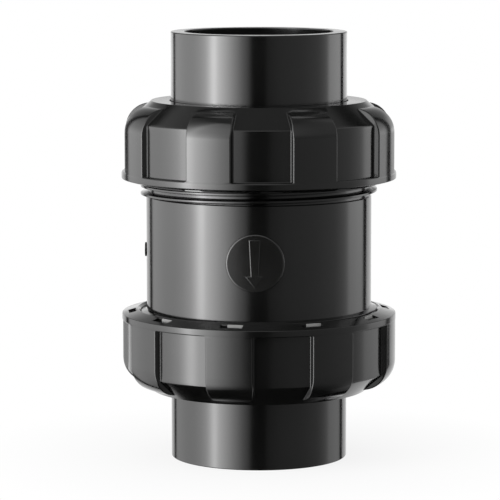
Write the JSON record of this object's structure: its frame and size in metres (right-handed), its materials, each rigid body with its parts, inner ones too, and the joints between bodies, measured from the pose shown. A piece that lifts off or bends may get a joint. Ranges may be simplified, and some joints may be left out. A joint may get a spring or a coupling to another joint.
{
  "type": "ball non-return valve",
  "caption": "True-union ball non-return valve for solvent-cemented plastic pipe: barrel body with caged ball and seat, ribbed union nuts and plain socket ends.",
  "frame": {"origin": "centre of the outlet end's open face, on which the valve stands", "axes": "+Z along the flow axis from the outlet to the inlet, -Y towards the flow marker on the body"},
  "size_m": [0.117, 0.117, 0.182],
  "materials": {
    "grey_plastic": "semi-gloss moulded",
    "ball_plastic": "smooth turned",
    "seal_rubber": "matt"
  },
  "bodies": {
    "valve_body": {"valve_body": "grey_plastic", "seat_carrier": "grey_plastic", "ball_seat_seal": "seal_rubber", "carrier_o_ring": "seal_rubber", "inlet_face_o_ring": "seal_rubber", "outlet_face_o_ring": "seal_rubber"},
    "ball": {"ball": "ball_plastic"},
    "inlet_socket_end": {"inlet_socket_end": "grey_plastic"},
    "inlet_union_nut": {"inlet_union_nut": "grey_plastic"},
    "outlet_socket_end": {"outlet_socket_end": "grey_plastic"},
    "outlet_union_nut": {"outlet_union_nut": "grey_plastic"}
  },
  "joints": [
    {"name": "ball_travel", "type": "slide", "parent": "valve_body", "child": "ball", "axis": [0, 0, 1], "range_m": [0, 0.019]},
    {"name": "inlet_union_slide", "type": "slide", "parent": "valve_body", "child": "inlet_socket_end", "axis": [0, 0, 1], "range_m": [0, 0.02311]},
    {"name": "inlet_nut_turn", "type": "hinge", "parent": "inlet_socket_end", "child": "inlet_union_nut", "pos_m": [0, 0, 0.1355], "axis": [0, 0, 1], "range_deg": [0, 2520]},
    {"name": "outlet_union_slide", "type": "slide", "parent": "valve_body", "child": "outlet_socket_end", "axis": [0, 0, -1], "range_m": [0, 0.02311]},
    {"name": "outlet_nut_turn", "type": "hinge", "parent": "outlet_socket_end", "child": "outlet_union_nut", "pos_m": [0, 0, 0.0465], "axis": [0, 0, -1], "range_deg": [0, 2520]}
  ],
  "couplings": [
    {"joint": "inlet_union_slide", "follows": "inlet_nut_turn", "m_per_rad": 0.00052521},
    {"joint": "outlet_union_slide", "follows": "outlet_nut_turn", "m_per_rad": 0.00052521}
  ]
}
